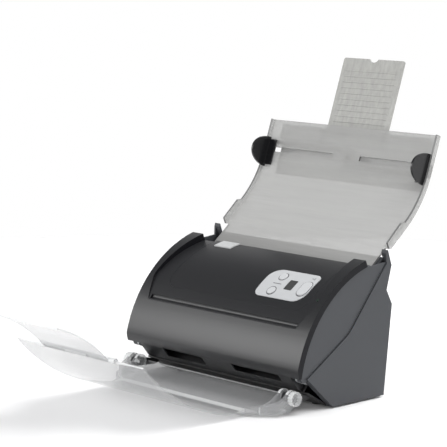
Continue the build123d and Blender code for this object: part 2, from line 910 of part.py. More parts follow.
# The two image sensors and their glasses face each other across the path
for side, name in ((-1, "lower"), (1, "upper")):
    glass_off = side * (path_gap + 0.1)
    with BuildPart() as glass:
        with BuildSketch(path_plane(glass_off)):
            with Locations((0, sensor_place)):
                Rectangle(sensor_length - 4 - 2 * piece_gap, sensor_width - 2 - 2 * piece_gap)
        extrude(amount=side * glass_thick)
    save(glass, f"{name}_glass")
    seat = side * (path_gap + plate_wall + piece_gap)
    with BuildPart() as sensor:
        with BuildSketch(path_plane(seat)):
            with Locations((0, sensor_place)):
                Rectangle(sensor_length, sensor_width)
        extrude(amount=side * sensor_depth)
        with BuildSketch(path_plane(seat)):
            with Locations((0, sensor_place)):
                Rectangle(sensor_length - 6, sensor_width - 4)
        extrude(amount=-side * (plate_wall + piece_gap - glass_thick - 0.2))
    save(sensor, f"{name}_sensor")

# Separation pad and its leaf spring, opposite the feed roller
with BuildPart() as separation_pad:
    with BuildSketch(path_plane(piece_gap)):
        with Locations((0, feed_roller_place)):
            Rectangle(pad_width, pad_height)
    extrude(amount=pad_thick + 1)
save(separation_pad, "separation_pad")

spring_thick = 0.6
with BuildPart() as pad_spring:
    with BuildSketch(side_plane(-6)):
        start_off = piece_gap + pad_thick + 1 + piece_gap
        Polygon(
            path_point(feed_roller_place - 6, start_off),
            path_point(feed_roller_place + 6, start_off),
            path_point(feed_roller_place + 14, path_gap + plate_wall + piece_gap),
            path_point(feed_roller_place + 20, path_gap + plate_wall + piece_gap),
            path_point(feed_roller_place + 20, path_gap + plate_wall + piece_gap + spring_thick),
            path_point(feed_roller_place + 14, path_gap + plate_wall + piece_gap + spring_thick),
            path_point(feed_roller_place + 6, start_off + spring_thick),
            path_point(feed_roller_place - 6, start_off + spring_thick),
            align=None,
        )
    extrude(amount=12)
save(pad_spring, "pad_spring")


# Half of a tooth's thickness at a radius, as an angle in radians
def tooth_half(teeth, radius):
    pitch = gear_module * teeth / 2
    base = pitch * cos(radians(pressure_angle))
    at_pitch = radians(pressure_angle)
    at_radius = acos(min(base / radius, 1))
    thickness = (pi * gear_module / 2 - gear_backlash) / (2 * pitch)
    return thickness + (tan(at_pitch) - at_pitch) - (tan(at_radius) - at_radius)


# Outline of a spur gear about the origin, with one tooth centred on an angle in degrees
def gear_points(teeth, phase):
    pitch = gear_module * teeth / 2
    base = pitch * cos(radians(pressure_angle))
    root = pitch - tooth_root * gear_module
    tip = pitch + tooth_tip * gear_module
    radii = [root, pitch, tip] if root > base else [root, base, pitch, tip]
    points = []
    for index in range(teeth):
        middle = radians(phase) + 2 * pi * index / teeth
        for radius in radii:
            turn = middle - tooth_half(teeth, radius)
            points.append((radius * cos(turn), radius * sin(turn)))
        for radius in reversed(radii):
            turn = middle + tooth_half(teeth, radius)
            points.append((radius * cos(turn), radius * sin(turn)))
    return points


# Direction from one centre to another in degrees
def heading(first, second):
    return degrees(atan2(second[1] - first[1], second[0] - first[0]))


# Phase that brings a gear into mesh with a neighbour of known phase
def mesh_phase(centre, teeth, other_centre, other_teeth, other_phase):
    line = heading(other_centre, centre)
    return line + 180 + (line - other_phase) * other_teeth / teeth + 180 / teeth


drive_phase = 0.0
idler_phase = mesh_phase(idler_axis, idler_teeth, drive_axis, drive_teeth, drive_phase)
feed_phase = mesh_phase(feed_axis, drive_teeth, idler_axis, idler_teeth, idler_phase)
long_phase = mesh_phase(long_idler_axis, long_idler_teeth, drive_axis, drive_teeth, drive_phase)
exit_phase = mesh_phase(exit_axis, drive_teeth, long_idler_axis, long_idler_teeth, long_phase)
motor_phase = mesh_phase(motor_axis, motor_teeth, long_idler_axis, long_idler_teeth, long_phase)

gears = [
    ("drive_gear", drive_axis, drive_teeth, drive_phase, shaft_radius),
    ("feed_gear", feed_axis, drive_teeth, feed_phase, shaft_radius),
    ("exit_gear", exit_axis, drive_teeth, exit_phase, shaft_radius),
    ("idler_gear", idler_axis, idler_teeth, idler_phase, shaft_radius + running_gap),
    ("long_idler_gear", long_idler_axis, long_idler_teeth, long_phase, shaft_radius + running_gap),
]
for label, centre, teeth, phase, bore in gears:
    with BuildPart() as gear:
        with BuildSketch(side_plane(-gear_inner)):
            with Locations(centre):
                Polygon(*gear_points(teeth, phase), align=None)
                Circle(bore, mode=Mode.SUBTRACT)
        extrude(amount=-gear_width)
    save(gear, label)

# Shafts with their tyres
shaft_reach = panel_inner + gear_start + gear_width
for label, centre, radius, width, places in (
    ("exit", exit_axis, small_roller_radius, roller_width, (-roller_spread, roller_spread)),
    ("drive", drive_axis, small_roller_radius, roller_width, (-roller_spread, roller_spread)),
    ("feed", feed_axis, feed_roller_radius, feed_roller_width, (0,)),
):
    with BuildPart() as shaft:
        with BuildSketch(side_plane(-shaft_reach)):
            with Locations(centre):
                Circle(shaft_radius)
        extrude(amount=shaft_reach + panel_inner + gear_start)
    save(shaft, f"{label}_shaft")
    with BuildPart() as roller:
        for place in places:
            with BuildSketch(side_plane(place - width / 2)):
                with Locations(centre):
                    Circle(radius)
                    Circle(shaft_radius, mode=Mode.SUBTRACT)
            extrude(amount=width)
    save(roller, f"{label}_roller")

# Flanged bushings in the frame plates
with BuildPart() as bushings:
    for side in (-1, 1):
        with BuildSketch(side_plane(side * (panel_inner + piece_gap))):
            with Locations(*bearing_points):
                Circle(bush_radius)
                Circle(shaft_radius + running_gap, mode=Mode.SUBTRACT)
        extrude(amount=-side * (frame_wall + 2 * piece_gap))
        with BuildSketch(side_plane(side * (frame_inner - piece_gap))):
            with Locations(*bearing_points):
                Circle(bush_radius + bush_flange)
                Circle(shaft_radius + running_gap, mode=Mode.SUBTRACT)
        extrude(amount=-side * bush_flange)
save(bushings, "bushings")

# Pinch rollers on the cover
pinch_reach = bracket_x + pinch_bracket
for label, centre in (("drive_pinch", drive_pinch_axis), ("exit_pinch", exit_pinch_axis)):
    with BuildPart() as pinch:
        with BuildSketch(side_plane(-pinch_reach)):
            with Locations(centre):
                Circle(pinch_shaft_radius)
        extrude(amount=2 * pinch_reach)
        for place in (-roller_spread, roller_spread):
            with BuildSketch(side_plane(place - roller_width / 2)):
                with Locations(centre):
                    Circle(pinch_roller_radius)
            extrude(amount=roller_width)
    save(pinch, f"{label}_roller")

# Motor inside the left frame plate, and its pinion and shaft in one piece
with BuildPart() as motor:
    with BuildSketch(side_plane(-inside_half)):
        with Locations(motor_axis):
            Circle(motor_radius)
    extrude(amount=motor_length)
save(motor, "motor")

with BuildPart() as motor_pinion:
    with BuildSketch(side_plane(-gear_inner)):
        with Locations(motor_axis):
            Polygon(*gear_points(motor_teeth, motor_phase), align=None)
    extrude(amount=-gear_width)
    with BuildSketch(side_plane(-shaft_reach)):
        with Locations(motor_axis):
            Circle(motor_shaft_radius)
    extrude(amount=shaft_reach - inside_half - piece_gap)
save(motor_pinion, "motor_pinion")

# Inlay panel that follows the recess floor
with BuildPart() as inlay_panel:
    add(inlay_blank.part)
    with BuildSketch(panel_plane):
        add(inlay_plan.sketch_local)
    extrude(amount=plan_reach / 2, both=True, mode=Mode.INTERSECT)
    with BuildSketch(panel_plane):
        add(panel_plan.sketch_local)
        offset(amount=inlay_clear, mode=Mode.REPLACE)
    extrude(amount=plan_reach / 4, both=True, mode=Mode.SUBTRACT)
    with BuildSketch(side_plane(lever_x - lever_width / 2 - lever_side_gap)):
        Rectangle(back, body_height, align=Align.MIN)
        with Locations((lever_front - lever_side_gap, 0)):
            Rectangle(back, body_height, align=Align.MIN, mode=Mode.INTERSECT)
    extrude(amount=lever_width + 2 * lever_side_gap, mode=Mode.SUBTRACT)
save(inlay_panel, "inlay_panel")

# Control panel with the openings for the display and the keys
with BuildSketch() as scan_plan:
    with Locations(scan_key):
        SlotOverall(scan_height, scan_width, rotation=90)
with BuildSketch() as window_plan:
    with Locations(window_place):
        RectangleRounded(window_width, window_height, 1.2)

with BuildPart() as panel_blank:
    with BuildSketch(side_plane(panel_x - panel_width)):
        add(panel_layer.sketch_local)
    extrude(amount=2 * panel_width)

with BuildPart() as control_panel:
    add(panel_blank.part)
    with BuildSketch(panel_plane):
        add(panel_plan.sketch_local)
    extrude(amount=plan_reach / 4, both=True, mode=Mode.INTERSECT)
    with BuildSketch(panel_plane):
        with Locations(up_key, down_key):
            Circle(button_radius + inlay_clear)
    extrude(amount=plan_reach / 4, both=True, mode=Mode.SUBTRACT)
    with BuildSketch(panel_plane):
        add(scan_plan.sketch_local)
        offset(amount=inlay_clear, mode=Mode.REPLACE)
    extrude(amount=plan_reach / 4, both=True, mode=Mode.SUBTRACT)
    with BuildSketch(panel_plane):
        add(window_plan.sketch_local)
        offset(amount=inlay_clear / 2, mode=Mode.REPLACE)
    extrude(amount=plan_reach / 4, both=True, mode=Mode.SUBTRACT)
save(control_panel, "control_panel")

with BuildPart() as display_window:
    add(panel_blank.part)
    with BuildSketch(panel_plane):
        add(window_plan.sketch_local)
    extrude(amount=plan_reach / 4, both=True, mode=Mode.INTERSECT)
save(display_window, "display_window")


# Depth of the recess floor below the panel plane at a height on that plane
def floor_sag(place):
    return floor_radius - sqrt(floor_radius**2 - place**2)


# Buttons: a cap in the panel with a stem down to the switch board
board_off = -floor_wall - 3.0
for label, key, plan in (
    ("up_button", up_key, None),
    ("down_button", down_key, None),
    ("scan_button", scan_key, scan_plan),
):
    sag = floor_sag(key[1])
    cap_low = -inlay_thick + button_travel + piece_gap
    cap_high = panel_proud + button_proud - sag
    with BuildPart() as button:
        with BuildSketch(panel_plane.offset(cap_low)):
            if plan:
                add(plan.sketch_local)
            else:
                with Locations(key):
                    Circle(button_radius)
        extrude(amount=cap_high - cap_low)
        fillet(button.faces().sort_by(Axis(panel_plane.origin, panel_plane.z_dir))[-1].edges(), edge_soft)
        with BuildSketch(panel_plane.offset(cap_low)):
            with Locations(key):
                Circle(button_stem)
        extrude(amount=board_off + button_travel + piece_gap - cap_low)
    save(button, label)

# Status lamp
with BuildPart() as lamp_lens:
    lamp_sag = floor_sag(lamp_place[1])
    with BuildSketch(panel_plane.offset(board_off + board_thick)):
        with Locations(lamp_place):
            Circle(lamp_radius)
    extrude(amount=edge_soft / 2 - lamp_sag - board_off - board_thick)
save(lamp_lens, "lamp_lens")

# Switch board under the panel
key_board_left = -47.0
key_board_right = 69.0
key_board_half = 19.0
key_post_places = (-41.0, 54.0)
with BuildPart() as panel_board:
    with BuildSketch(panel_plane.offset(board_off)):
        with Locations(((key_board_left + key_board_right) / 2, 0)):
            Rectangle(key_board_right - key_board_left, 2 * key_board_half)
    extrude(amount=-board_thick)
    with BuildSketch(panel_plane.offset(board_off)):
        with Locations(*[(x, 0) for x in key_post_places]):
            Circle(post_radius)
    extrude(amount=-board_off - floor_wall - piece_gap)
save(panel_board, "panel_board")

# Cover release: a tab in the recess on a bar with a hook at each end
with BuildPart() as release_lever:
    with BuildSketch(side_plane(lever_x - lever_width / 2)):
        with Locations(floor_centre):
            Circle(floor_radius + 1.2)
            Circle(floor_radius + 1.2 - lever_thick, mode=Mode.SUBTRACT)
        Polygon(
            (lever_front, lever_axis[1]),
            (recess_top[0] + 1, lever_axis[1]),
            (recess_top[0] + 1, body_height),
            (lever_front, body_height),
            align=None,
            mode=Mode.INTERSECT,
        )
    extrude(amount=lever_width)
    with BuildSketch(side_plane(lever_x - 4)):
        Polygon(
            (lever_axis[0] - lever_bar_radius, lever_axis[1]),
            (lever_axis[0] + lever_bar_radius, lever_axis[1]),
            (recess_top[0] + 1, recess_top[1] - 1),
            (recess_top[0] - 6, recess_top[1] - 1),
            align=None,
        )
    extrude(amount=8)
    with BuildSketch(side_plane(-hook_inner - hook_width)):
        with Locations(lever_axis):
            Circle(lever_bar_radius)
    extrude(amount=2 * (hook_inner + hook_width))
    for side in (-1, 1):
        with BuildSketch(side_plane(side * hook_inner)):
            Polygon(
                (lever_axis[0] - 2, lever_axis[1]),
                (lever_axis[0] + 1.5, lever_axis[1]),
                (lever_axis[0] - 3, lever_axis[1] - 18),
                (lever_axis[0] - 6, lever_axis[1] - 18),
                align=None,
            )
        extrude(amount=side * hook_width)
save(release_lever, "release_lever")

# Output tray: one clear sheet with cheeks that turn on the hubs of the base
tray_floor = (front - tray_floor_ahead, tray_floor_height)
tray_centre = (tray_floor[0], tray_floor[1] + tray_radius)
tray_crease = (front - tray_crease_ahead, tray_crease_height)
tray_ramp = (front - tray_ramp_ahead, tray_ramp_height)
flap_hinge = arc_point(tray_centre, tray_radius + tray_wall / 2, tray_rim_angle)
outer_cheek = tray_lug_inner + tray_lug_width + piece_gap
inner_cheek = tray_lug_inner - piece_gap - tray_cheek
cheek_edge = outer_cheek + tray_cheek
tray_middle_angle = (270 + tray_rim_angle) / 2
tray_plan_front = 6 * front
knuckle_gap = 0.4

with BuildSketch(side_plane()) as tray_section:
    with BuildLine():
        ThreePointArc(
            arc_point(tray_centre, tray_radius, tray_rim_angle),
            arc_point(tray_centre, tray_radius, tray_middle_angle),
            tray_floor,
        )
        Polyline(
            tray_floor,
            tray_crease,
            tray_ramp,
            (tray_ramp[0] + tray_wall / 2, tray_ramp[1] - tray_wall),
            (tray_crease[0] + tray_wall / 2, tray_crease[1] - tray_wall),
            (tray_floor[0], tray_floor[1] - tray_wall),
        )
        ThreePointArc(
            (tray_floor[0], tray_floor[1] - tray_wall),
            arc_point(tray_centre, tray_radius + tray_wall, tray_middle_angle),
            arc_point(tray_centre, tray_radius + tray_wall, tray_rim_angle),
        )
        Line(
            arc_point(tray_centre, tray_radius + tray_wall, tray_rim_angle),
            arc_point(tray_centre, tray_radius, tray_rim_angle),
        )
    make_face()

with BuildSketch(side_plane()) as tray_cheek_side:
    with Locations(tray_pivot):
        Circle(tray_hub_radius)
    Polygon(
        (tray_pivot[0] - 4, tray_pivot[1] + 9.1),
        (tray_pivot[0] - 13, tray_pivot[1] + 2),
        (tray_pivot[0] - 24, tray_pivot[1] - 3.5),
        (front - tray_tail_ahead, tray_floor_height + 1.2),
        (front - tray_tail_ahead, tray_floor_height - 0.5),
        (tray_floor[0], tray_floor[1] - tray_wall / 2),
        (tray_crease[0], tray_crease[1] - tray_wall / 2),
        (tray_pivot[0] + 4, tray_pivot[1] - 8),
        align=None,
    )

with BuildPart() as tray_sheet:
    with BuildSketch(side_plane(-cheek_edge)):
        add(tray_section.sketch_local)
    extrude(amount=2 * cheek_edge)
    with BuildSketch():
        for side in (-1, 1):
            Polygon(
                (0, tray_plan_front),
                (side * tray_half_width, tray_plan_front),
                (side * tray_half_width, front - tray_neck_ahead),
                (side * cheek_edge, front - tray_shoulder_ahead),
                (side * cheek_edge, 0),
                (0, 0),
                align=None,
            )
        for side in (-1, 1):
            with Locations((side * (tray_lug_inner + tray_lug_width / 2), front / 2 - 6.5)):
                Rectangle(tray_lug_width + 2 * piece_gap, -front, mode=Mode.SUBTRACT)
    extrude(amount=body_height, mode=Mode.INTERSECT)
    for side in (-1, 1):
        with BuildSketch(side_plane(side * inner_cheek)):
            add(tray_cheek_side.sketch_local)
            with Locations((tray_pivot[0], 0)):
                Rectangle(2 * 40, body_height, mode=Mode.INTERSECT)
        extrude(amount=side * tray_cheek)
    for side in (-1, 1):
        with BuildSketch(Plane.XY.offset(tray_floor_height - tray_wall)):
            edge = [
                (side * cheek_edge, front + hub_back),
                (side * cheek_edge, front - tray_shoulder_ahead),
                (side * tray_half_width, front - tray_neck_ahead),
                (side * tray_half_width, front - tray_tail_ahead),
            ]
            Polygon(*wall_outline(edge, -side * tray_cheek), align=None)
        extrude(amount=tray_pivot_height + tray_hub_radius)
    with BuildSketch(side_plane(-cheek_edge)):
        Rectangle(6 * body_height, 6 * body_height)
        add(tray_cheek_side.sketch_local, mode=Mode.SUBTRACT)
        add(tray_section.sketch_local, mode=Mode.SUBTRACT)
    extrude(amount=2 * cheek_edge, mode=Mode.SUBTRACT)
    with BuildSketch(side_plane(-cheek_edge)):
        with Locations(tray_pivot):
            Circle(tray_pin_radius + running_gap)
    extrude(amount=2 * cheek_edge, mode=Mode.SUBTRACT)
    knuckle_end = flap_width / 2 + knuckle_gap
    for x, width in ((-flap_knuckle, 2 * flap_knuckle), (knuckle_end, 10), (-knuckle_end - 10, 10)):
        with BuildSketch(side_plane(x)):
            with Locations(flap_hinge):
                Circle(flap_barrel_radius)
        extrude(amount=width)
    for x in (-knuckle_end, flap_knuckle):
        with BuildSketch(side_plane(x)):
            with Locations(flap_hinge):
                Circle(flap_barrel_radius + knuckle_gap)
        extrude(amount=knuckle_end - flap_knuckle, mode=Mode.SUBTRACT)
    with BuildSketch(side_plane(-cheek_edge)):
        with Locations(flap_hinge):
            Circle(flap_pin_radius + running_gap)
    extrude(amount=2 * cheek_edge, mode=Mode.SUBTRACT)
save(tray_sheet, "tray_sheet")

# Pivot pins of the tray and their ribbed knobs
knob_gap = 0.2
with BuildPart() as tray_pins:
    for side in (-1, 1):
        with BuildSketch(side_plane(side * inner_cheek)):
            with Locations(tray_pivot):
                Circle(tray_pin_radius)
        extrude(amount=side * (cheek_edge - inner_cheek))
save(tray_pins, "tray_pins")

with BuildPart() as tray_knobs:
    for side in (-1, 1):
        with BuildSketch(side_plane(side * (cheek_edge + knob_gap))):
            with Locations(tray_pivot):
                Circle(tray_knob_radius)
                with PolarLocations(tray_knob_radius, tray_knob_ribs):
                    Circle(tray_knob_notch, mode=Mode.SUBTRACT)
        extrude(amount=side * tray_knob_length)
save(tray_knobs, "tray_knobs")

# Flap on the rim of the tray, curved the other way and more tightly
flap_centre = arc_point(flap_hinge, flap_radius + tray_wall / 2, tray_rim_angle)
flap_outer = flap_radius - flap_step
flap_inner = flap_outer - tray_wall
flap_start = tray_rim_angle - 180
flap_turn = degrees(flap_length / flap_radius)
flap_tip = arc_point(flap_centre, flap_inner, flap_start + flap_turn)
with BuildPart() as tray_flap:
    with BuildSketch(side_plane(-flap_width / 2)):
        with BuildLine():
            ThreePointArc(
                arc_point(flap_centre, flap_outer, flap_start),
                arc_point(flap_centre, flap_outer, flap_start + flap_turn / 2),
                arc_point(flap_centre, flap_outer, flap_start + flap_turn),
            )
            ThreePointArc(
                arc_point(flap_centre, flap_inner, flap_start),
                arc_point(flap_centre, flap_inner, flap_start + flap_turn / 2),
                arc_point(flap_centre, flap_inner, flap_start + flap_turn),
            )
            Line(
                arc_point(flap_centre, flap_outer, flap_start),
                arc_point(flap_centre, flap_inner, flap_start),
            )
            Line(
                arc_point(flap_centre, flap_outer, flap_start + flap_turn),
                arc_point(flap_centre, flap_inner, flap_start + flap_turn),
            )
        make_face()
    extrude(amount=flap_width)
    for x in (-flap_width / 2, flap_knuckle + knuckle_gap):
        with BuildSketch(side_plane(x)):
            with Locations(flap_hinge):
                Circle(flap_barrel_radius)
        extrude(amount=flap_width / 2 - flap_knuckle - knuckle_gap)
    with BuildSketch(side_plane(-flap_knuckle - knuckle_gap)):
        with Locations(flap_hinge):
            Circle(flap_barrel_radius + knuckle_gap)
    extrude(amount=2 * (flap_knuckle + knuckle_gap), mode=Mode.SUBTRACT)
    with BuildSketch(side_plane(-flap_width / 2)):
        with Locations(flap_hinge):
            Circle(flap_pin_radius + running_gap)
    extrude(amount=flap_width, mode=Mode.SUBTRACT)
    with BuildSketch(Plane.XY):
        with Locations((0, flap_tip[0])):
            RectangleRounded(flap_width, -2 * front, flap_corner, align=(Align.CENTER, Align.MIN))
    extrude(amount=body_height, mode=Mode.INTERSECT)
save(tray_flap, "tray_flap")

with BuildPart() as flap_pin:
    with BuildSketch(side_plane(-knuckle_end - 10)):
        with Locations(flap_hinge):
            Circle(flap_pin_radius)
    extrude(amount=2 * (knuckle_end + 10))
save(flap_pin, "flap_pin")

# Paper chute: a bent plate with edge rims, slots for the guides and hooks in the deck
chute_middle = degrees(atan2(-low_cos - high_cos, low_sin + high_sin))


# Closed outline of a layer of the chute between two distances towards the front
def chute_layer(low, high, start, stop):
    with BuildSketch() as layer:
        with BuildLine():
            Polyline(low_point(chute_low_length, low), low_point(start, low), low_point(start, high),
                     low_point(chute_low_length, high))
            for off in (low, high):
                ThreePointArc(
                    low_point(chute_low_length, off),
                    arc_point(bend_centre, chute_bend_radius - off, chute_middle),
                    high_point(0, off),
                )
            Polyline(high_point(0, low), high_point(stop, low), high_point(stop, high), high_point(0, high))
        make_face()
    return layer.sketch_local


with BuildPart() as chute_plate:
    with BuildSketch(side_plane(-chute_half_width)):
        add(chute_layer(-chute_wall, 0, 0, chute_high_length))
    extrude(amount=2 * chute_half_width)
    for side in (-1, 1):
        with BuildSketch(side_plane(side * chute_half_width)):
            add(chute_layer(-chute_wall, chute_rim_height, fin_end, chute_high_length))
            Polygon(
                low_point(fin_start, -chute_wall),
                low_point(fin_end, -chute_wall),
                low_point(fin_end, chute_rim_height),
                low_point(fin_end - 6, fin_height),
                low_point(fin_start + 3, fin_height - 1),
                align=None,
            )
        extrude(amount=-side * chute_rim)
    with BuildSketch(Plane.XY.offset(chute_foot_height)):
        Rectangle(2 * body_width, 2 * body_width)
        Rectangle(2 * chute_foot_half, 2 * body_width, mode=Mode.SUBTRACT)
    extrude(amount=-body_height, mode=Mode.SUBTRACT)
    with BuildSketch(chute_plane()):
        for side in (-1, 1):
            with Locations((side * (slot_inner + guide_outer) / 2, guide_place)):
                Rectangle(guide_outer - slot_inner, slot_height)
    extrude(amount=2 * chute_wall, both=True, mode=Mode.SUBTRACT)
    with BuildSketch(chute_plane(-chute_wall)):
        with Locations((0, guide_place)):
            Circle(pinion_post_radius)
    extrude(amount=-(rack_behind + rack_thick))
    rail_deep = extension_behind + extension_room + extension_thick
    for side in (-1, 1):
        with BuildSketch(chute_plane(-chute_wall)):
            with Locations((side * (extension_width / 2 + piece_gap + rail_width / 2), rail_place)):
                Rectangle(rail_width, rail_length)
        extrude(amount=chute_wall - rail_deep)
        with BuildSketch(chute_plane(-chute_wall)):
            with Locations((side * (extension_width + rail_width - rail_hook) / 2, rail_place)):
                Rectangle(rail_hook, rail_length)
        extrude(amount=chute_wall - extension_behind - extension_room + piece_gap)
        with BuildSketch(side_plane(side * hook_tab_spread)):
            Polygon(
                low_point(hook_tab_place, -chute_wall / 2),
                low_point(hook_tab_place + chute_wall, -chute_wall / 2),
                low_point(hook_tab_place + chute_wall, -hook_tab_length),
                low_point(hook_tab_place, -hook_tab_length),
                align=None,
            )
        extrude(amount=hook_tab_width / 2, both=True)
save(chute_plate, "chute_plate")

# Back cover of the chute, over the racks and the stowed extension
cover_off = -(rail_deep + piece_gap)
chute_back_half = chute_half_width - chute_back_inset
chute_back_wall_middle = (chute_back_wall_low + chute_back_high) / 2
ledge_inner = extension_width / 2 + 2 * rail_width
with BuildPart() as chute_back:
    with BuildSketch(chute_plane(cover_off)):
        Polygon(
            (-chute_back_half, chute_back_low),
            (chute_back_half, chute_back_low),
            (chute_back_half, chute_back_high),
            (-chute_back_half, chute_back_high),
            align=None,
        )
    extrude(amount=-chute_back_wall)
    for side in (-1, 1):
        with BuildSketch(chute_plane(cover_off)):
            with Locations((side * (chute_back_half - chute_back_wall / 2), chute_back_wall_middle)):
                Rectangle(chute_back_wall, chute_back_high - chute_back_wall_low)
            with Locations((side * (chute_back_half + ledge_inner) / 2, chute_back_high - chute_back_wall / 2)):
                Rectangle(chute_back_half - ledge_inner, chute_back_wall)
        extrude(amount=-cover_off - chute_wall - piece_gap)
save(chute_back, "chute_back")


# Outline of a rack about its pitch line, with the teeth pointing along a direction of 1 or -1
def rack_points(left, right, toward):
    half = (pi * gear_module / 2 - gear_backlash) / 2
    slope = tan(radians(pressure_angle))
    tip = tooth_tip * gear_module
    root = tooth_root * gear_module
    points = []
    middle = left + pi * gear_module / 2
    while middle < right:
        points += [
            (middle - half - slope * root, -toward * root),
            (middle - half + slope * tip, toward * tip),
            (middle + half - slope * tip, toward * tip),
            (middle + half + slope * root, -toward * root),
        ]
        middle += pi * gear_module
    end = -toward * (root + rack_height)
    return [*points, (right, -toward * root), (right, end), (left, end), (left, -toward * root)]


pinion_radius = gear_module * pinion_teeth / 2
rack_front = chute_wall + rack_behind
tooth_count = int((guide_travel + rack_over) / (pi * gear_module)) + 1
for side, label in ((-1, "guide_left"), (1, "guide_right")):
    with BuildPart() as guide:
        with BuildSketch(side_plane(side * guide_outer)):
            with Locations(high_point(guide_place - guide_drop, guide_stand)):
                Ellipse(guide_reach, guide_length / 2, rotation=chute_high_angle + 90)
            Polygon(
                high_point(-guide_length, guide_stand),
                high_point(guide_length, guide_stand),
                high_point(guide_length, 2 * guide_reach),
                high_point(-guide_length, 2 * guide_reach),
                align=None,
                mode=Mode.INTERSECT,
            )
        extrude(amount=-side * guide_wall)
        with BuildSketch(chute_plane(guide_stand)):
            with Locations((side * (guide_outer - (guide_foot + guide_wall) / 2), guide_place - guide_drop)):
                Rectangle(guide_foot + guide_wall, guide_length - 6)
        extrude(amount=guide_wall - 1)
        with BuildSketch(chute_plane(guide_stand)):
            with Locations((side * (guide_outer - guide_wall - 0.5), guide_place)):
                Rectangle(2 * guide_wall - 1, slot_height - 2 * piece_gap)
        extrude(amount=-guide_stand - rack_front - rack_thick)
        toward = side
        rack_line = guide_place - side * pinion_radius
        outer_line = rack_line - side * (tooth_root + rack_height)
        low, high = sorted((outer_line, guide_place - side * slot_height / 2 + side))
        with BuildSketch(chute_plane(-rack_front)):
            with Locations((side * (guide_outer - guide_wall - 0.5), (low + high) / 2)):
                Rectangle(2 * guide_wall - 1, high - low)
            with Locations((0, rack_line)):
                first = -ceil(rack_over / pi) * pi if side > 0 else -tooth_count * pi
                last = tooth_count * pi if side > 0 else ceil(rack_over / pi) * pi
                Polygon(*rack_points(first, last, toward), align=None)
                bar = guide_outer - 2 * guide_wall - (last if side > 0 else -first)
                with Locations((side * (guide_outer - 2 * guide_wall - bar / 2),
                                -toward * (tooth_root + rack_height / 2))):
                    Rectangle(bar + 1, rack_height)
        extrude(amount=-rack_thick)
    save(guide, label)

with BuildPart() as guide_pinion:
    with BuildSketch(chute_plane(-rack_front)):
        with Locations((0, guide_place)):
            Polygon(*gear_points(pinion_teeth, 0), align=None)
            Circle(pinion_post_radius + running_gap, mode=Mode.SUBTRACT)
    extrude(amount=-rack_thick)
save(guide_pinion, "guide_pinion")

# Extension plate behind the chute, with grip ribs and a thumb notch
extension_off = -(extension_behind + extension_room)
with BuildPart() as extension_plate:
    with BuildSketch(chute_plane(extension_off)):
        with Locations((0, extension_top - extension_length / 2)):
            RectangleRounded(extension_width, extension_length, 3)
        with Locations((0, extension_top + thumb_radius / 2)):
            Circle(thumb_radius, mode=Mode.SUBTRACT)
    extrude(amount=-extension_thick)
    with BuildSketch(chute_plane(extension_off)):
        for index in range(extension_ribs):
            with Locations((0, extension_top - 18 - index * extension_rib_step)):
                Rectangle(extension_width - 16, 1.2)
    extrude(amount=0.6)
save(extension_plate, "extension_plate")

# Main board on the rear wall, with the sockets
with BuildPart() as main_board:
    board_back = -plate_wall - board_standoff
    with BuildSketch(rear_plane(board_low, board_back)):
        with Locations((0, (board_high - board_low) / 2)):
            Rectangle(2 * board_half, board_high - board_low)
    extrude(amount=-board_thick)
    with BuildSketch(rear_plane(board_low, board_back)):
        for x in (-board_half + board_edge, board_half - board_edge):
            with Locations((x, board_edge), (x, board_high - board_low - board_edge)):
                Circle(post_radius)
    extrude(amount=board_standoff - piece_gap)
save(main_board, "main_board")

with BuildPart() as usb_port:
    with BuildSketch(rear_plane(socket_height)):
        with Locations((-usb_x, 0)):
            Rectangle(usb_width, usb_height)
    extrude(amount=-plate_wall - board_standoff + piece_gap)
    with BuildSketch(rear_plane(socket_height)):
        with Locations((-usb_x, 0)):
            Rectangle(usb_width - 2, usb_height - 2)
            Rectangle(usb_width - 6, usb_height - 6, mode=Mode.SUBTRACT)
    extrude(amount=-plate_wall - board_standoff + 2, mode=Mode.SUBTRACT)
save(usb_port, "usb_port")

with BuildPart() as power_inlet:
    with BuildSketch(rear_plane(socket_height)):
        with Locations((-inlet_x, 0)):
            Rectangle(inlet_width, inlet_width)
    extrude(amount=-inlet_depth)
    with BuildSketch(rear_plane(socket_height)):
        with Locations((-inlet_x, 0)):
            Circle(inlet_bore)
            Circle(inlet_bore / 3, mode=Mode.SUBTRACT)
    extrude(amount=-inlet_depth + 2, mode=Mode.SUBTRACT)
save(power_inlet, "power_inlet")


# (y, z) of a place on the rear wall; off is measured backwards
def rear_point(height, off=0.0):
    origin = rear_plane(height, off).origin
    return (origin.Y, origin.Z)


switch_axis = rear_point(socket_height, -3)
rocker_radius = switch_height / 2 + piece_gap
with BuildPart() as power_switch:
    with BuildSketch(side_plane(switch_x - switch_width / 2)):
        with Locations(switch_axis):
            Circle(rocker_radius)
        Polygon(
            rear_point(socket_height - switch_height, -7),
            rear_point(socket_height - switch_height, 0.4),
            rear_point(socket_height, -0.6),
            rear_point(socket_height + switch_height / 2, 2.2),
            rear_point(socket_height + switch_height, 2.2),
            rear_point(socket_height + switch_height, -7),
            align=None,
            mode=Mode.INTERSECT,
        )
    extrude(amount=switch_width)
save(power_switch, "power_switch")
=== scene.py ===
import json
import math

import bmesh
import bpy
from mathutils import Matrix, Vector


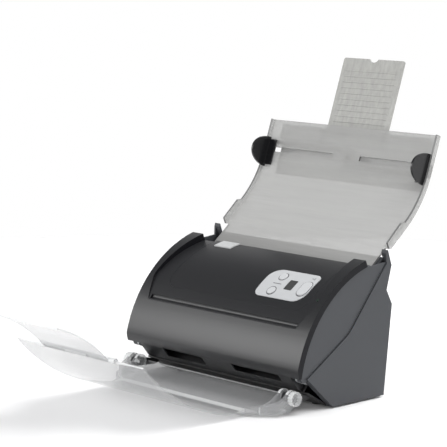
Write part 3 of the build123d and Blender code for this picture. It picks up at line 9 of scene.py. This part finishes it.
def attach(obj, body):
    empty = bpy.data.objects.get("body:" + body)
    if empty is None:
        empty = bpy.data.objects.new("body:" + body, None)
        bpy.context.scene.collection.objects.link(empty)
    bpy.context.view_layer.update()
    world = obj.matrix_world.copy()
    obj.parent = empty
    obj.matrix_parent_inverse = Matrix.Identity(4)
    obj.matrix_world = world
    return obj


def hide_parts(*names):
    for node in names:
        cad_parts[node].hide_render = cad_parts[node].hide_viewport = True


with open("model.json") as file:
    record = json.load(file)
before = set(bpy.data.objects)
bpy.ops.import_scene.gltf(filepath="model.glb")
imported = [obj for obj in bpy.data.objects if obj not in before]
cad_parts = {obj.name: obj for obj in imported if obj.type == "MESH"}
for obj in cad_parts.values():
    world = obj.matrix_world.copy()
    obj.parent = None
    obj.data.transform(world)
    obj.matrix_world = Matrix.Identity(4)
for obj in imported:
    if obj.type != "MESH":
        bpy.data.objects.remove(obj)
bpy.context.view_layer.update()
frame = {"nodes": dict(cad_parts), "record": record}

print("frame loaded:", len(frame["nodes"]), "nodes")

# The body's middle stands this far behind the frame's origin
bodyShift = 0.0805


# A shader socket that does sums
class Sock:
    def __init__(self, paint, socket):
        self.paint = paint
        self.socket = socket

    def sum(self, operation, first, second):
        return self.paint.node("ShaderNodeMath", {"operation": operation}, {0: first, 1: second})

    def __add__(self, other):
        return self.sum("ADD", self, other)

    def __radd__(self, other):
        return self.sum("ADD", other, self)

    def __mul__(self, other):
        return self.sum("MULTIPLY", self, other)

    def __rmul__(self, other):
        return self.sum("MULTIPLY", other, self)

    def clamp(self):
        return self.sum("MINIMUM", self.sum("MAXIMUM", self, 0.0), 1.0)


# A material that makes its nodes
class Paint:
    def __init__(self, name, color, roughness, **settings):
        self.material = bpy.data.materials.new(name)
        self.material.use_nodes = True
        self.tree = self.material.node_tree
        self.shader = self.tree.nodes["Principled BSDF"]
        self.shader.inputs["Base Color"].default_value = (*color, 1.0)
        self.shader.inputs["Roughness"].default_value = roughness
        for key, value in settings.items():
            self.shader.inputs[key.replace("_", " ")].default_value = value
        self.object = self.tree.nodes.new("ShaderNodeTexCoord").outputs["Object"]

    # Any node: its settings first, then the values or links of its sockets
    def node(self, kind, settings=None, values=None, output=0):
        made = self.tree.nodes.new(kind)
        for key, value in (settings or {}).items():
            setattr(made, key, value)
        for key, value in (values or {}).items():
            self.put(made.inputs[key], value)
        return Sock(self, made.outputs[output])

    def put(self, target, value):
        if isinstance(value, Sock):
            value = value.socket
        if isinstance(value, bpy.types.NodeSocket):
            self.tree.links.new(value, target)
        else:
            target.default_value = value

    def noise(self, scale, detail=2.0, roughness=0.5, vector=None):
        return self.node("ShaderNodeTexNoise", None, {
            "Vector": vector or self.object, "Scale": scale, "Detail": detail, "Roughness": roughness})

    def stretched(self, x, y, z):
        return self.node("ShaderNodeMapping", None, {"Vector": self.object, "Scale": (x, y, z)})

    # A colour between two, by a mask: the node's colour sockets are the sixth and seventh
    def mix(self, mask, first, second):
        return self.node("ShaderNodeMix", {"data_type": "RGBA"}, {0: mask, 6: first, 7: second}, 2)

    def wear(self, name, value):
        self.put(self.shader.inputs[name], value)

    # Grain seen as bump, with its height in metres
    def grain(self, height, distance):
        self.wear("Normal", self.node("ShaderNodeBump", None, {
            "Height": height, "Distance": distance, "Strength": 1.0}))


# The same colour lighter or darker, as a shader takes it
def shade(color, factor):
    return tuple(min(channel * factor, 1.0) for channel in color) + (1.0,)


# Moulded plastic: slight unevenness of colour and gloss, and a fine spark-eroded grain
def mouldedPlastic(name, color, roughness, grainScale, grainHeight, spread=0.12, **settings):
    paint = Paint(name, color, roughness, **settings)
    cloud = paint.noise(9.0, 3.0)
    fine = paint.noise(grainScale, 2.0, 0.6)
    paint.wear("Base Color", paint.mix(cloud, shade(color, 1.0 - spread), shade(color, 1.0 + spread)))
    paint.wear("Roughness", roughness - 0.05 + 0.1 * fine)
    paint.grain(fine, grainHeight)
    return paint.material


# Metal with fine lines along X, as drawn or turned stock has
def linedMetal(name, color, roughness, stretch=(4.0, 900.0, 900.0)):
    paint = Paint(name, color, roughness, Metallic=1.0)
    lines = paint.noise(1.0, 3.0, 0.6, paint.stretched(*stretch))
    cloud = paint.noise(30.0, 2.0)
    paint.wear("Base Color", paint.mix(cloud, shade(color, 0.88), shade(color, 1.1)))
    paint.wear("Roughness", roughness - 0.08 + 0.18 * lines)
    paint.grain(lines, 0.00002)
    return paint.material


# Zinc-plated sheet with its spangle
def spangledPlate(name, color):
    paint = Paint(name, color, 0.42, Metallic=0.85)
    cells = paint.node("ShaderNodeTexVoronoi", None, {"Vector": paint.object, "Scale": 160.0}, "Color")
    grey = paint.node("ShaderNodeRGBToBW", None, {"Color": cells})
    paint.wear("Base Color", paint.mix(grey, shade(color, 0.82), shade(color, 1.12)))
    paint.wear("Roughness", 0.34 + 0.16 * grey)
    return paint.material


# Dull rubber with a film of dust
def softRubber(name, color):
    paint = Paint(name, color, 0.82)
    dust = paint.noise(240.0, 4.0, 0.7)
    fine = paint.noise(2200.0, 1.0)
    paint.wear("Base Color", paint.mix(dust, shade(color, 0.75), shade(color, 1.5)))
    paint.wear("Roughness", 0.74 + 0.16 * dust)
    paint.grain(fine, 0.00006)
    return paint.material


# Clear moulding: most light passes, with a slight haze, fine scuffs and streaks of flow
def clearSheet(name, color, roughness, alpha, streak=(3.0, 40.0, 40.0), spread=0.12):
    paint = Paint(name, color, roughness, IOR=1.49)
    scuff = paint.noise(60.0, 5.0, 0.7, paint.stretched(1.0, 4.0, 4.0))
    flow = paint.noise(1.0, 4.0, 0.6, paint.stretched(*streak))
    paint.wear("Base Color", paint.mix(flow, shade(color, 1.0 - spread), shade(color, 1.0 + spread)))
    paint.wear("Roughness", (roughness * (0.7 + 0.6 * scuff)).clamp())
    paint.wear("Alpha", (alpha * (0.8 + 0.4 * flow)).clamp())
    return paint.material


# Glass of the sensors, with a faint film of dust
def glassStrip(name, color):
    paint = Paint(name, color, 0.03, Transmission_Weight=0.95, IOR=1.5)
    paint.wear("Roughness", 0.02 + 0.05 * paint.noise(140.0, 4.0, 0.7))
    return paint.material


# Board with a faint grid of tracks under its lacquer
def circuitBoard(name, color):
    paint = Paint(name, color, 0.35, Coat_Weight=0.4)
    grid = paint.node("ShaderNodeTexBrick", {"offset": 0.5}, {
        "Vector": paint.object, "Scale": 90.0, "Mortar Size": 0.06,
        "Color1": shade(color, 1.0), "Color2": shade(color, 0.7), "Mortar": shade(color, 2.2)})
    paint.wear("Base Color", grid)
    paint.wear("Roughness", 0.28 + 0.2 * paint.noise(500.0, 1.0))
    return paint.material


# Dark window of the display with a faint grid of unlit segments
def darkWindow(name, color):
    paint = Paint(name, color, 0.12, Coat_Weight=0.6)
    grid = paint.node("ShaderNodeTexChecker", None, {
        "Vector": paint.object, "Scale": 900.0, "Color1": shade(color, 0.9), "Color2": shade(color, 1.25)})
    paint.wear("Base Color", grid)
    paint.wear("Roughness", 0.08 + 0.08 * paint.noise(80.0, 3.0))
    return paint.material


# Each finish by its name: colour, roughness, then scale and height of the grain or what the maker takes
finishes = {
    "shellSatin": mouldedPlastic("shellSatin", (0.017, 0.0175, 0.019), 0.34, 2600.0, 0.000012, 0.06),
    # Near-black for the shell's sideways faces, its side bands and recess walls: painted shade, picked by the
    # way the faces look
    "bandBlack": mouldedPlastic("bandBlack", (0.004, 0.004, 0.006), 0.5, 1800.0, 0.00002,
                               Specular_IOR_Level=0.2),
    "sideGrain": mouldedPlastic("sideGrain", (0.047, 0.050, 0.056), 0.58, 1300.0, 0.00007, 0.06),
    "jetPlastic": mouldedPlastic("jetPlastic", (0.008, 0.008, 0.009), 0.26, 1500.0, 0.00002),
    "innerBlack": mouldedPlastic("innerBlack", (0.012, 0.012, 0.013), 0.55, 1200.0, 0.00005),
    "panelSilver": mouldedPlastic("panelSilver", (0.52, 0.53, 0.54), 0.42, 3000.0, 0.000008, 0.03),
    "keySilver": mouldedPlastic("keySilver", (0.56, 0.57, 0.58), 0.36, 3000.0, 0.000008, 0.03),
    "leverGrey": mouldedPlastic("leverGrey", (0.50, 0.51, 0.51), 0.45, 1500.0, 0.00003, 0.04),
    "markGrey": mouldedPlastic("markGrey", (0.16, 0.16, 0.17), 0.5, 1500.0, 0.00001),
    "windowDark": darkWindow("windowDark", (0.055, 0.056, 0.055)),
    "lampGreen": mouldedPlastic("lampGreen", (0.02, 0.035, 0.025), 0.15, 800.0, 0.00001, Coat_Weight=0.8),
    "trayClear": clearSheet("trayClear", (0.44, 0.445, 0.45), 0.16, 0.36),
    # Near-white for the tray's cut edges: a painted highlight
    "trayEdge": clearSheet("trayEdge", (0.86, 0.87, 0.87), 0.12, 0.80),
    "chuteFrost": clearSheet("chuteFrost", (0.42, 0.42, 0.41), 0.42, 0.62),
    # Dark grey for the chute's cut edges: painted shade
    "chuteEdge": clearSheet("chuteEdge", (0.16, 0.16, 0.16), 0.30, 0.90),
    "extensionFrost": clearSheet("extensionFrost", (0.38, 0.38, 0.36), 0.34, 0.80, (180.0, 60.0, 60.0), 0.22),
    "shaftSteel": linedMetal("shaftSteel", (0.62, 0.62, 0.63), 0.28),
    "platedZinc": spangledPlate("platedZinc", (0.50, 0.51, 0.52)),
    "bushBrass": linedMetal("bushBrass", (0.68, 0.50, 0.26), 0.35, (300.0, 300.0, 300.0)),
    "portSteel": linedMetal("portSteel", (0.66, 0.66, 0.67), 0.25, (700.0, 700.0, 40.0)),
    "rubberBlack": softRubber("rubberBlack", (0.022, 0.022, 0.023)),
    "rubberGrey": softRubber("rubberGrey", (0.38, 0.38, 0.385)),
    "nylonWhite": mouldedPlastic("nylonWhite", (0.66, 0.64, 0.58), 0.48, 900.0, 0.00002, 0.04),
    "glassStrip": glassStrip("glassStrip", (0.86, 0.93, 0.91)),
    "boardGreen": circuitBoard("boardGreen", (0.012, 0.10, 0.045)),
}

# The CAD nodes that each finish covers
nodeFinish = {
    "shellSatin": ["cover_shell", "inlay_panel", "exit_lip"],
    "sideGrain": ["cover_side_left", "cover_side_right", "side_panel_left", "side_panel_right", "rear_cover"],
    "jetPlastic": ["guide_left", "guide_right", "power_inlet", "power_switch", "hinge_pins"],
    "innerBlack": ["lower_guide", "upper_guide", "lower_sensor", "upper_sensor", "bottom_housing"],
    "panelSilver": ["control_panel"],
    "keySilver": ["scan_button", "up_button", "down_button"],
    "leverGrey": ["release_lever"],
    "windowDark": ["display_window"],
    "lampGreen": ["lamp_lens"],
    "trayClear": ["tray_sheet", "tray_flap", "tray_knobs"],
    "chuteFrost": ["chute_plate", "chute_back"],
    "extensionFrost": ["extension_plate"],
    "shaftSteel": ["tray_pins", "flap_pin", "drive_shaft", "feed_shaft", "exit_shaft", "pad_spring"],
    "platedZinc": ["frame_left", "frame_right", "motor"],
    "bushBrass": ["bushings"],
    "portSteel": ["usb_port"],
    "rubberBlack": ["feet", "feed_roller", "separation_pad"],
    "rubberGrey": ["drive_roller", "exit_roller", "drive_pinch_roller", "exit_pinch_roller"],
    "nylonWhite": ["drive_gear", "feed_gear", "exit_gear", "idler_gear", "long_idler_gear", "motor_pinion",
                   "guide_pinion"],
    "glassStrip": ["lower_glass", "upper_glass"],
    "boardGreen": ["main_board", "panel_board"],
}
finishOf = {node: finish for finish, nodes in nodeFinish.items() for node in nodes}
bodyOf = {node: body for body, nodes in frame["record"]["behaviour"]["bodies"].items() for node in nodes}
for node, thing in frame["nodes"].items():
    thing.data.materials.clear()
    thing.data.materials.append(finishes[finishOf[node]])
print("materials made:", len(finishes))


# A new piece on a body, with its finish in a material slot
def finishPiece(name, mesh, body, finish):
    piece = bpy.data.objects.new(name, mesh)
    bpy.context.scene.collection.objects.link(piece)
    mesh.materials.clear()
    mesh.materials.append(finishes[finish])
    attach(piece, body)
    return piece


edgeWidth = 0.0034
sideShare = 0.75


# Narrow faces of a sheet: its cut edges, where clear plastic gathers light. The tray's cut edges get a
# painted highlight, the chute's painted shade.
def isEdge(face):
    return face.calc_area() < edgeWidth * max(edge.calc_length() for edge in face.edges)


# Faces that look mostly along X: on the shell these take a near-black finish, painted shade
def facesSideways(face):
    return abs(face.normal.x) > sideShare


# How a CAD node's mesh is softened: sizes in metres, angles in degrees
softening = {"weld": 0.000004, "flatAngle": 0.6, "sharpAngle": 28.0, "segments": 2, "normalWeight": 90}


# A softened copy of a CAD node: flat faces rejoined, edges rounded, curved faces smooth, and
# the faces that pass the test in a second finish
def softened(node, name, width, test=None, second=None):
    mesh = frame["nodes"][node].data.copy()
    mesh.name = name
    work = bmesh.new()
    work.from_mesh(mesh)
    bmesh.ops.remove_doubles(work, verts=work.verts, dist=softening["weld"])
    bmesh.ops.dissolve_limit(work, angle_limit=math.radians(softening["flatAngle"]), verts=work.verts,
                             edges=work.edges, delimit=set())
    work.normal_update()
    for face in work.faces:
        face.smooth = True
        face.material_index = 1 if test and test(face) else 0
    work.to_mesh(mesh)
    work.free()
    shown = [face.material_index for face in mesh.polygons]
    piece = finishPiece(name, mesh, bodyOf[node], finishOf[node])
    if test:
        mesh.materials.append(finishes[second])
        mesh.polygons.foreach_set("material_index", shown)
    bevel = piece.modifiers.new("edges", "BEVEL")
    bevel.width = width
    bevel.segments = softening["segments"]
    bevel.limit_method = "ANGLE"
    bevel.angle_limit = math.radians(softening["sharpAngle"])
    bevel.profile = 0.5
    bevel.harden_normals = False
    bevel.use_clamp_overlap = True
    shading = piece.modifiers.new("shading", "WEIGHTED_NORMAL")
    shading.keep_sharp = True
    shading.weight = softening["normalWeight"]
    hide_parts(node)


# Width of the rounded edges of each softened node
softEdges = {
    "cover_shell": 0.0006, "cover_side_left": 0.0005, "cover_side_right": 0.0005,
    "side_panel_left": 0.0006, "side_panel_right": 0.0006, "inlay_panel": 0.0003,
    "control_panel": 0.0003, "display_window": 0.0002, "release_lever": 0.0005, "exit_lip": 0.0005,
    "rear_cover": 0.0005, "bottom_housing": 0.0005, "tray_sheet": 0.0004, "tray_flap": 0.0005,
    "tray_knobs": 0.0004, "chute_plate": 0.0006, "chute_back": 0.0005, "guide_left": 0.0006,
    "guide_right": 0.0006, "extension_plate": 0.0004, "scan_button": 0.0003, "up_button": 0.0003,
    "down_button": 0.0003,
}
# Faces of a node that have a finish of their own: painted shade on the shell's sideways faces, a painted
# highlight on the tray's cut edges, painted shade on the chute's cut edges
secondFinish = {
    "cover_shell": (facesSideways, "bandBlack"), "tray_sheet": (isEdge, "trayEdge"),
    "tray_flap": (isEdge, "trayEdge"), "tray_knobs": (isEdge, "trayEdge"),
    "chute_plate": (isEdge, "chuteEdge"),
}
for node, width in softEdges.items():
    first, *rest = node.split("_")
    test, second = secondFinish.get(node, (None, None))
    softened(node, first + "".join(word.capitalize() for word in rest), width, test, second)
print("softened pieces:", len(softEdges))

# The control panel lies on a round face about a line along X. Its place across, three points of that
# face from the side, its middle from the side, how far it stands proud, and how deep its marks reach
panel = {"x": 0.0785, "foot": (-0.066, 0.1025), "bend": (-0.022, 0.146), "top": (0.042, 0.1715),
         "middle": (-0.0205, 0.1425), "proud": 0.0006, "rooted": -0.0003}


# Centre and radius of the circle through three points
def circleThrough(first, second, third):
    (ax, ay), (bx, by), (cx, cy) = first, second, third
    twice = 2 * ((bx - ax) * (cy - by) - (cx - bx) * (by - ay))
    low = bx * bx + by * by - ax * ax - ay * ay
    high = cx * cx + cy * cy - bx * bx - by * by
    x = (low * (cy - by) - high * (by - ay)) / twice
    y = (high * (bx - ax) - low * (cx - bx)) / twice
    return (x, y), math.hypot(ax - x, ay - y)


faceCentre, faceRadius = circleThrough(panel["foot"], panel["bend"], panel["top"])
panelAngle = math.atan2(panel["middle"][1] - faceCentre[1], panel["middle"][0] - faceCentre[0])
panelOut = Vector((0.0, math.cos(panelAngle), math.sin(panelAngle)))
panelUp = Vector((0.0, math.sin(panelAngle), -math.cos(panelAngle)))
panelOrigin = Vector((panel["x"], faceCentre[0] + bodyShift, faceCentre[1])) + panelOut * faceRadius


# Point on the panel's face at a place across and up, with a lift off the face
def panelPoint(across, climb, lift):
    sag = faceRadius - math.sqrt(faceRadius ** 2 - climb ** 2)
    rise = panel["proud"] + lift - sag
    return panelOrigin + Vector((across, 0.0, 0.0)) + panelUp * climb + panelOut * rise


# Outline of a slot or round key, as points about its middle
def slotOutline(centre, width, height, count=48):
    radius = width / 2
    straight = max(height / 2 - radius, 0.0)
    points = []
    for index in range(count):
        angle = 2 * math.pi * index / count
        rise = straight if math.sin(angle) > 0 else -straight
        points.append((centre[0] + radius * math.cos(angle), centre[1] + rise + radius * math.sin(angle)))
    return points


# A closed ring on the panel between two outlines
def panelRing(work, inner, outer, low, high):
    loops = [[work.verts.new(panelPoint(u, v, lift)) for u, v in outline]
             for outline, lift in ((inner, low), (inner, high), (outer, high), (outer, low))]
    for first, second in zip(loops, loops[1:] + loops[:1]):
        for index in range(len(first)):
            after = (index + 1) % len(first)
            work.faces.new((first[index], first[after], second[after], second[index]))


# A closed plate on the panel inside an outline
def panelPlate(work, outline, low, high):
    below = [work.verts.new(panelPoint(u, v, low)) for u, v in outline]
    above = [work.verts.new(panelPoint(u, v, high)) for u, v in outline]
    work.faces.new(above)
    work.faces.new(list(reversed(below)))
    for index in range(len(outline)):
        after = (index + 1) % len(outline)
        work.faces.new((below[index], below[after], above[after], above[index]))


# Finish a mesh that was built in place and hang it on its body
def buildPiece(name, work, body, finish, smooth=True):
    bmesh.ops.recalc_face_normals(work, faces=work.faces)
    for face in work.faces:
        face.smooth = smooth
    mesh = bpy.data.meshes.new(name)
    work.to_mesh(mesh)
    work.free()
    if smooth:
        mesh.set_sharp_from_angle(angle=math.radians(32.0))
    finishPiece(name, mesh, body, finish)


# Rings round the keys: middle across and up, width and height of each key, and the ring's own measures
keys = {
    "up": ((-0.0162, 0.0116), 0.012, 0.012),
    "down": ((-0.0166, -0.0146), 0.012, 0.012),
    "scan": ((0.032, -0.0026), 0.015, 0.025),
}
ring = {"gap": 0.0004, "wall": 0.0009, "lift": 0.00012}
ringWork = bmesh.new()
for centre, width, height in keys.values():
    inner, outer = (slotOutline(centre, width + 2 * reach, height + 2 * reach)
                    for reach in (ring["gap"], ring["gap"] + ring["wall"]))
    panelRing(ringWork, inner, outer, panel["rooted"], ring["lift"])
buildPiece("keyRings", ringWork, "cover", "markGrey")

# Plain marks on the panel: left and right end, lower and upper end
marks = {
    "lineBetweenKeys": (-0.0235, -0.0095, -0.0024, -0.0012),
    "barOverScanKey": (0.0295, 0.0325, 0.0165, 0.0177),
    "markBesideBar": (0.0335, 0.0345, 0.0150, 0.0192),
}
markLift = 0.00008
markWork = bmesh.new()
for left, right, low, high in marks.values():
    panelPlate(markWork, ((left, low), (right, low), (right, high), (left, high)), panel["rooted"], markLift)
buildPiece("panelMarks", markWork, "cover", "markGrey", False)
print("panel details ready")

# Floor, and a world that is white low down and dark overhead, so that curved faces get a soft gradient
stage = {"floorRadius": 1.35, "floorTone": (0.95, 0.95, 0.95), "floorRoughness": 0.7, "worldLight": 1.0,
         "whiteBelow": (0.36, (1.0, 1.0, 1.0, 1.0)), "darkAbove": (0.62, (0.12, 0.12, 0.13, 1.0))}
floorWork = bmesh.new()
bmesh.ops.create_circle(floorWork, cap_ends=True, segments=128, radius=stage["floorRadius"])
floorMesh = bpy.data.meshes.new("floor")
floorWork.to_mesh(floorMesh)
floorWork.free()
floor = bpy.data.objects.new("floor", floorMesh)
bpy.context.scene.collection.objects.link(floor)
floorMesh.materials.append(Paint("floorPale", stage["floorTone"], stage["floorRoughness"]).material)

world = bpy.data.worlds.new("studio")
bpy.context.scene.world = world
world.use_nodes = True
sky = world.node_tree.nodes
direction = sky.new("ShaderNodeTexCoord").outputs["Generated"]
split = sky.new("ShaderNodeSeparateXYZ")
ramp = sky.new("ShaderNodeValToRGB")
world.node_tree.links.new(direction, split.inputs[0])
world.node_tree.links.new(split.outputs["Z"], ramp.inputs[0])
world.node_tree.links.new(ramp.outputs["Color"], sky["Background"].inputs["Color"])
for stop, (place, tone) in zip(ramp.color_ramp.elements, (stage["whiteBelow"], stage["darkAbove"])):
    stop.position, stop.color = place, tone
sky["Background"].inputs["Strength"].default_value = stage["worldLight"]

# Square lamps that look at the body
lights = {
    "keyLight": {"place": (-1.5, -1.6, 0.9), "size": 0.9, "power": 14.0},
    "topLight": {"place": (0.9, 0.2, 2.2), "size": 2.0, "power": 52.0},
    "backLight": {"place": (-0.4, 1.9, 1.7), "size": 1.4, "power": 34.0},
}
lightAim = Vector((0.0, bodyShift, 0.12))
for name, setup in lights.items():
    lamp = bpy.data.lights.new(name, "AREA")
    lamp.energy = setup["power"]
    lamp.shape = "SQUARE"
    lamp.size = setup["size"]
    holder = bpy.data.objects.new(name, lamp)
    bpy.context.scene.collection.objects.link(holder)
    holder.location = setup["place"]
    holder.rotation_euler = (lightAim - holder.location).to_track_quat("-Z", "Y").to_euler()

# The camera, fitted to the photograph: metres, degrees, and millimetres of lens and sensor
view = {"aim": (-0.04251, -0.01953 + bodyShift, 0.20957), "turn": 46.45, "rise": 8.26, "roll": 0.385,
        "distance": 2.4875, "lens": 154.1, "sensor": 36.0, "farEnd": 20.0}
turn, rise, roll = (math.radians(view[key]) for key in ("turn", "rise", "roll"))
backward = Vector((math.sin(turn) * math.cos(rise), -math.cos(turn) * math.cos(rise), math.sin(rise)))
right = Vector((math.cos(turn), math.sin(turn), 0.0))
up = backward.cross(right)
rightRolled = math.cos(roll) * right + math.sin(roll) * up
upRolled = math.cos(roll) * up - math.sin(roll) * right
cameraData = bpy.data.cameras.new("camera")
cameraData.sensor_width = view["sensor"]
cameraData.lens = view["lens"]
cameraData.clip_end = view["farEnd"]
camera = bpy.data.objects.new("camera", cameraData)
bpy.context.scene.collection.objects.link(camera)
axes = Matrix((rightRolled, upRolled, backward)).transposed().to_4x4()
camera.matrix_world = Matrix.Translation(Vector(view["aim"]) + backward * view["distance"]) @ axes
bpy.context.scene.camera = camera
bpy.context.scene.view_settings.view_transform = "Standard"
print("stage ready")
